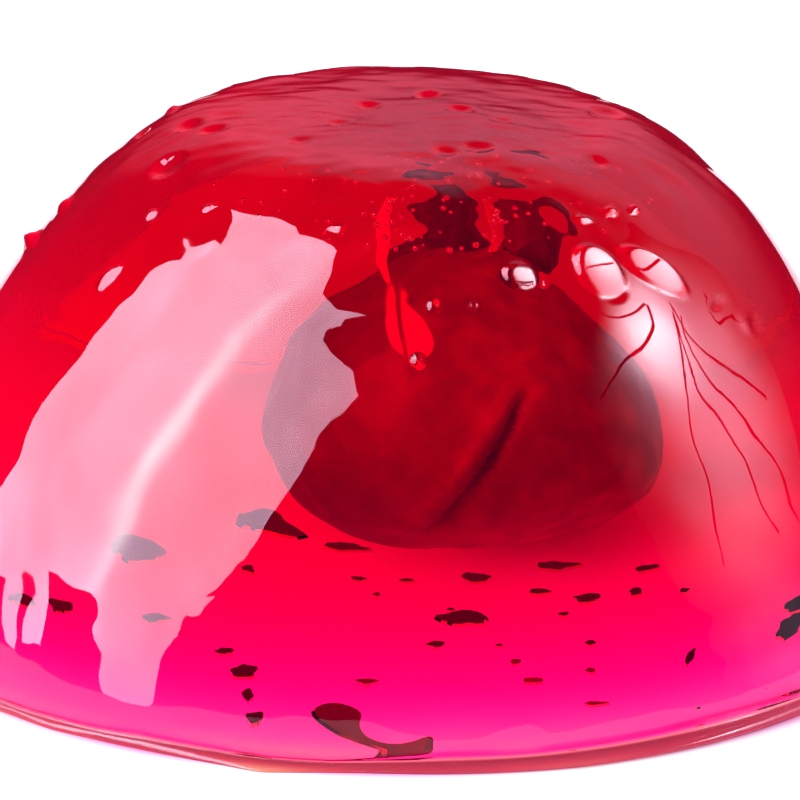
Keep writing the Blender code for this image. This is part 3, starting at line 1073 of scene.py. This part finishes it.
# %% [markdown]
# Its flesh is mottled by two sizes of noise, with painted shade that makes it darker towards its
# left, and a pale painted highlight at the front of its top.

# %% The fruit's flesh
FLESH_DARK = (0.125, 0.010, 0.014, 1)
FLESH_LIGHT = (0.36, 0.028, 0.036, 1)
# a painted highlight: a pale patch at the front of the fruit's top
PAINTED_HIGHLIGHT = (0.95, 0.30, 0.32, 1)
HIGHLIGHT_MIDDLE = Vector((0.0, -8.5, 22.4)) * MM
HIGHLIGHT_SIZE = Vector((1.7, 5.0, 1.1)) * MM
HIGHLIGHT_LEAN = -0.35
STREAK_LEFT, STREAK_WIDTH = -0.55 * MM, 0.28 * MM
# painted light and shade: across these places the flesh goes from darker on the left to lighter on
# the right, for how the lamps light it
SHADED_SIDE, LIT_SIDE = -8 * MM, 9 * MM
FLESH_ROUGHNESS = 0.5
COARSE, FINE, PITS = (110.0, 4.0), (420.0, 2.0), (350.0, 3.0)  # scale and detail of each noise
SPOTS_START, SPOTS_END, SPOTS_SHARE = 0.10, 0.42, 0.6
PIT_STRENGTH, PIT_DEPTH = 0.5, 0.3 * MM
HIGHLIGHT_EDGE, HIGHLIGHT_CORE = 1.0, 0.8
FRONT_START, FRONT_FULL = 0.0, -2 * MM


def flesh_material(name, dark, light):
    """A material with mottled flesh, and the nodes that give its colour and its surface."""
    material = new_material(name)
    tree = material.node_tree
    flesh = add_node(tree, "ShaderNodeBsdfPrincipled", Roughness=FLESH_ROUGHNESS)
    mottle = add_node(tree, "ShaderNodeMix", data_type="RGBA")
    mottle.inputs[6].default_value = dark
    mottle.inputs[7].default_value = light
    spots = calc(tree, "MULTIPLY", clouds(tree, *COARSE), clouds(tree, *FINE))
    spots = fade(tree, spots, SPOTS_START, SPOTS_END)
    # painted shade: darker towards the left, lighter towards the right
    side = fade(tree, along(tree, (1, 0, 0)), SHADED_SIDE, LIT_SIDE)
    spots = calc(tree, "MULTIPLY_ADD", spots, SPOTS_SHARE, 1 - SPOTS_SHARE)
    shade = calc(tree, "MULTIPLY", spots, side)
    tree.links.new(shade, mottle.inputs[0])
    skin_bump = add_node(tree, "ShaderNodeBump", Strength=PIT_STRENGTH, Distance=PIT_DEPTH)
    tree.links.new(clouds(tree, *PITS), skin_bump.inputs["Height"])
    tree.links.new(skin_bump.outputs["Normal"], flesh.inputs["Normal"])
    output = add_node(tree, "ShaderNodeOutputMaterial")
    tree.links.new(flesh.outputs["BSDF"], output.inputs["Surface"])
    return material, mottle, flesh


fruit_material, mottle, flesh = flesh_material("stewed_fruit", FLESH_DARK, FLESH_LIGHT)
tree = fruit_material.node_tree
# the painted highlight's patch, split by a thin dark streak
x = calc(tree, "SUBTRACT", along(tree, (1, 0, 0)), HIGHLIGHT_MIDDLE.x)
z = calc(tree, "SUBTRACT", along(tree, (0, 0, 1)), HIGHLIGHT_MIDDLE.z)
x = calc(tree, "MULTIPLY_ADD", z, -HIGHLIGHT_LEAN, x)
far_x = calc(tree, "DIVIDE", x, HIGHLIGHT_SIZE.x)
far_z = calc(tree, "DIVIDE", z, HIGHLIGHT_SIZE.z)
highlight = fade(tree, far_from(tree, far_x, far_z, (0, 0)), HIGHLIGHT_EDGE, HIGHLIGHT_CORE)
in_front = fade(tree, along(tree, (0, 1, 0)), FRONT_START, FRONT_FULL)
unstreaked = calc(tree, "SUBTRACT", 1.0, bell(tree, x, STREAK_LEFT, STREAK_WIDTH))
highlight_mix = add_node(tree, "ShaderNodeMix", data_type="RGBA")
highlight_mix.inputs[7].default_value = PAINTED_HIGHLIGHT
highlight = calc(tree, "MULTIPLY", highlight, calc(tree, "MULTIPLY", in_front, unstreaked))
tree.links.new(highlight, highlight_mix.inputs[0])
tree.links.new(mottle.outputs[2], highlight_mix.inputs[6])
tree.links.new(highlight_mix.outputs[2], flesh.inputs["Base Color"])
fruit.data.materials.append(fruit_material)

# %% The lobes, painted darker as shade, and two pale sheets painted as highlights
# painted shade: the lobes are coloured darker than the flesh for the shadow they lie in
LOBE_SHADE_DARK, LOBE_SHADE_LIGHT = (0.07, 0.006, 0.009, 1), (0.15, 0.012, 0.018, 1)
lobe_material, mottle, flesh = flesh_material("shaded_fruit", LOBE_SHADE_DARK, LOBE_SHADE_LIGHT)
lobe_material.node_tree.links.new(mottle.outputs[2], flesh.inputs["Base Color"])
for lobe in lobes:
    lobe.data.materials.append(lobe_material)

# two thin pale sheets in the jelly over the fruit, painted bright as highlights
GLINT_SHEETS = (
    # points from top to bottom in mm, half width mm
    (((-1.6, -3.0, 30.0), (-1.9, -3.6, 28.2), (-1.9, -4.2, 26.4), (-1.3, -4.8, 24.8)), 0.5),
    (((5.0, 3.0, 25.8), (5.3, 3.0, 24.9), (4.9, 2.9, 24.0), (4.8, 2.7, 23.0)), 0.55),
)
GLINT_THICK, GLINT_CUTS = 0.12 * MM, 3
GLINT_PALE = (1.0, 0.5, 0.45, 1)
GLINT_TAPERS = (0.5, 1.0, 0.8, 0.3)


def glint_sheet_mesh(name, points, half_width):
    shape = bmesh.new()
    rows = [
        [shape.verts.new(Vector(point) * MM + Vector((side * half_width * taper * MM, 0, 0)))
         for side in (-1, 0, 1)]
        for point, taper in zip(points, GLINT_TAPERS)
    ]
    for upper, lower in zip(rows, rows[1:]):
        for side in (0, 1):
            shape.faces.new((upper[side], lower[side], lower[side + 1], upper[side + 1]))
    bmesh.ops.subdivide_edges(
        shape, edges=shape.edges, cuts=GLINT_CUTS, smooth=1.0, use_grid_fill=True,
    )
    bmesh.ops.solidify(shape, geom=shape.faces, thickness=GLINT_THICK)
    bmesh.ops.recalc_face_normals(shape, faces=shape.faces)
    shade_smooth(shape)
    return finish_mesh(name, shape)


# the painted highlight colours of the pale sheets
glint_material, mottle, flesh = flesh_material("painted_glint", PAINTED_HIGHLIGHT, GLINT_PALE)
glint_material.node_tree.links.new(mottle.outputs[2], flesh.inputs["Base Color"])
glint_sheets = [
    glint_sheet_mesh(f"glint_sheet_{number}", points, half_width)
    for number, (points, half_width) in enumerate(GLINT_SHEETS, 1)
]
for glint in glint_sheets:
    glint.data.materials.append(glint_material)

# %% [markdown]
# ## Hand the pieces to the frame
# Every piece rides on the jelly's one body. The fine dome stands for the frame's plain solid.

# %% Tie the pieces to the frame
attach(jelly, "root")
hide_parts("jelly")
for piece in (fruit, *lobes, *glint_sheets):
    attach(piece, "root")
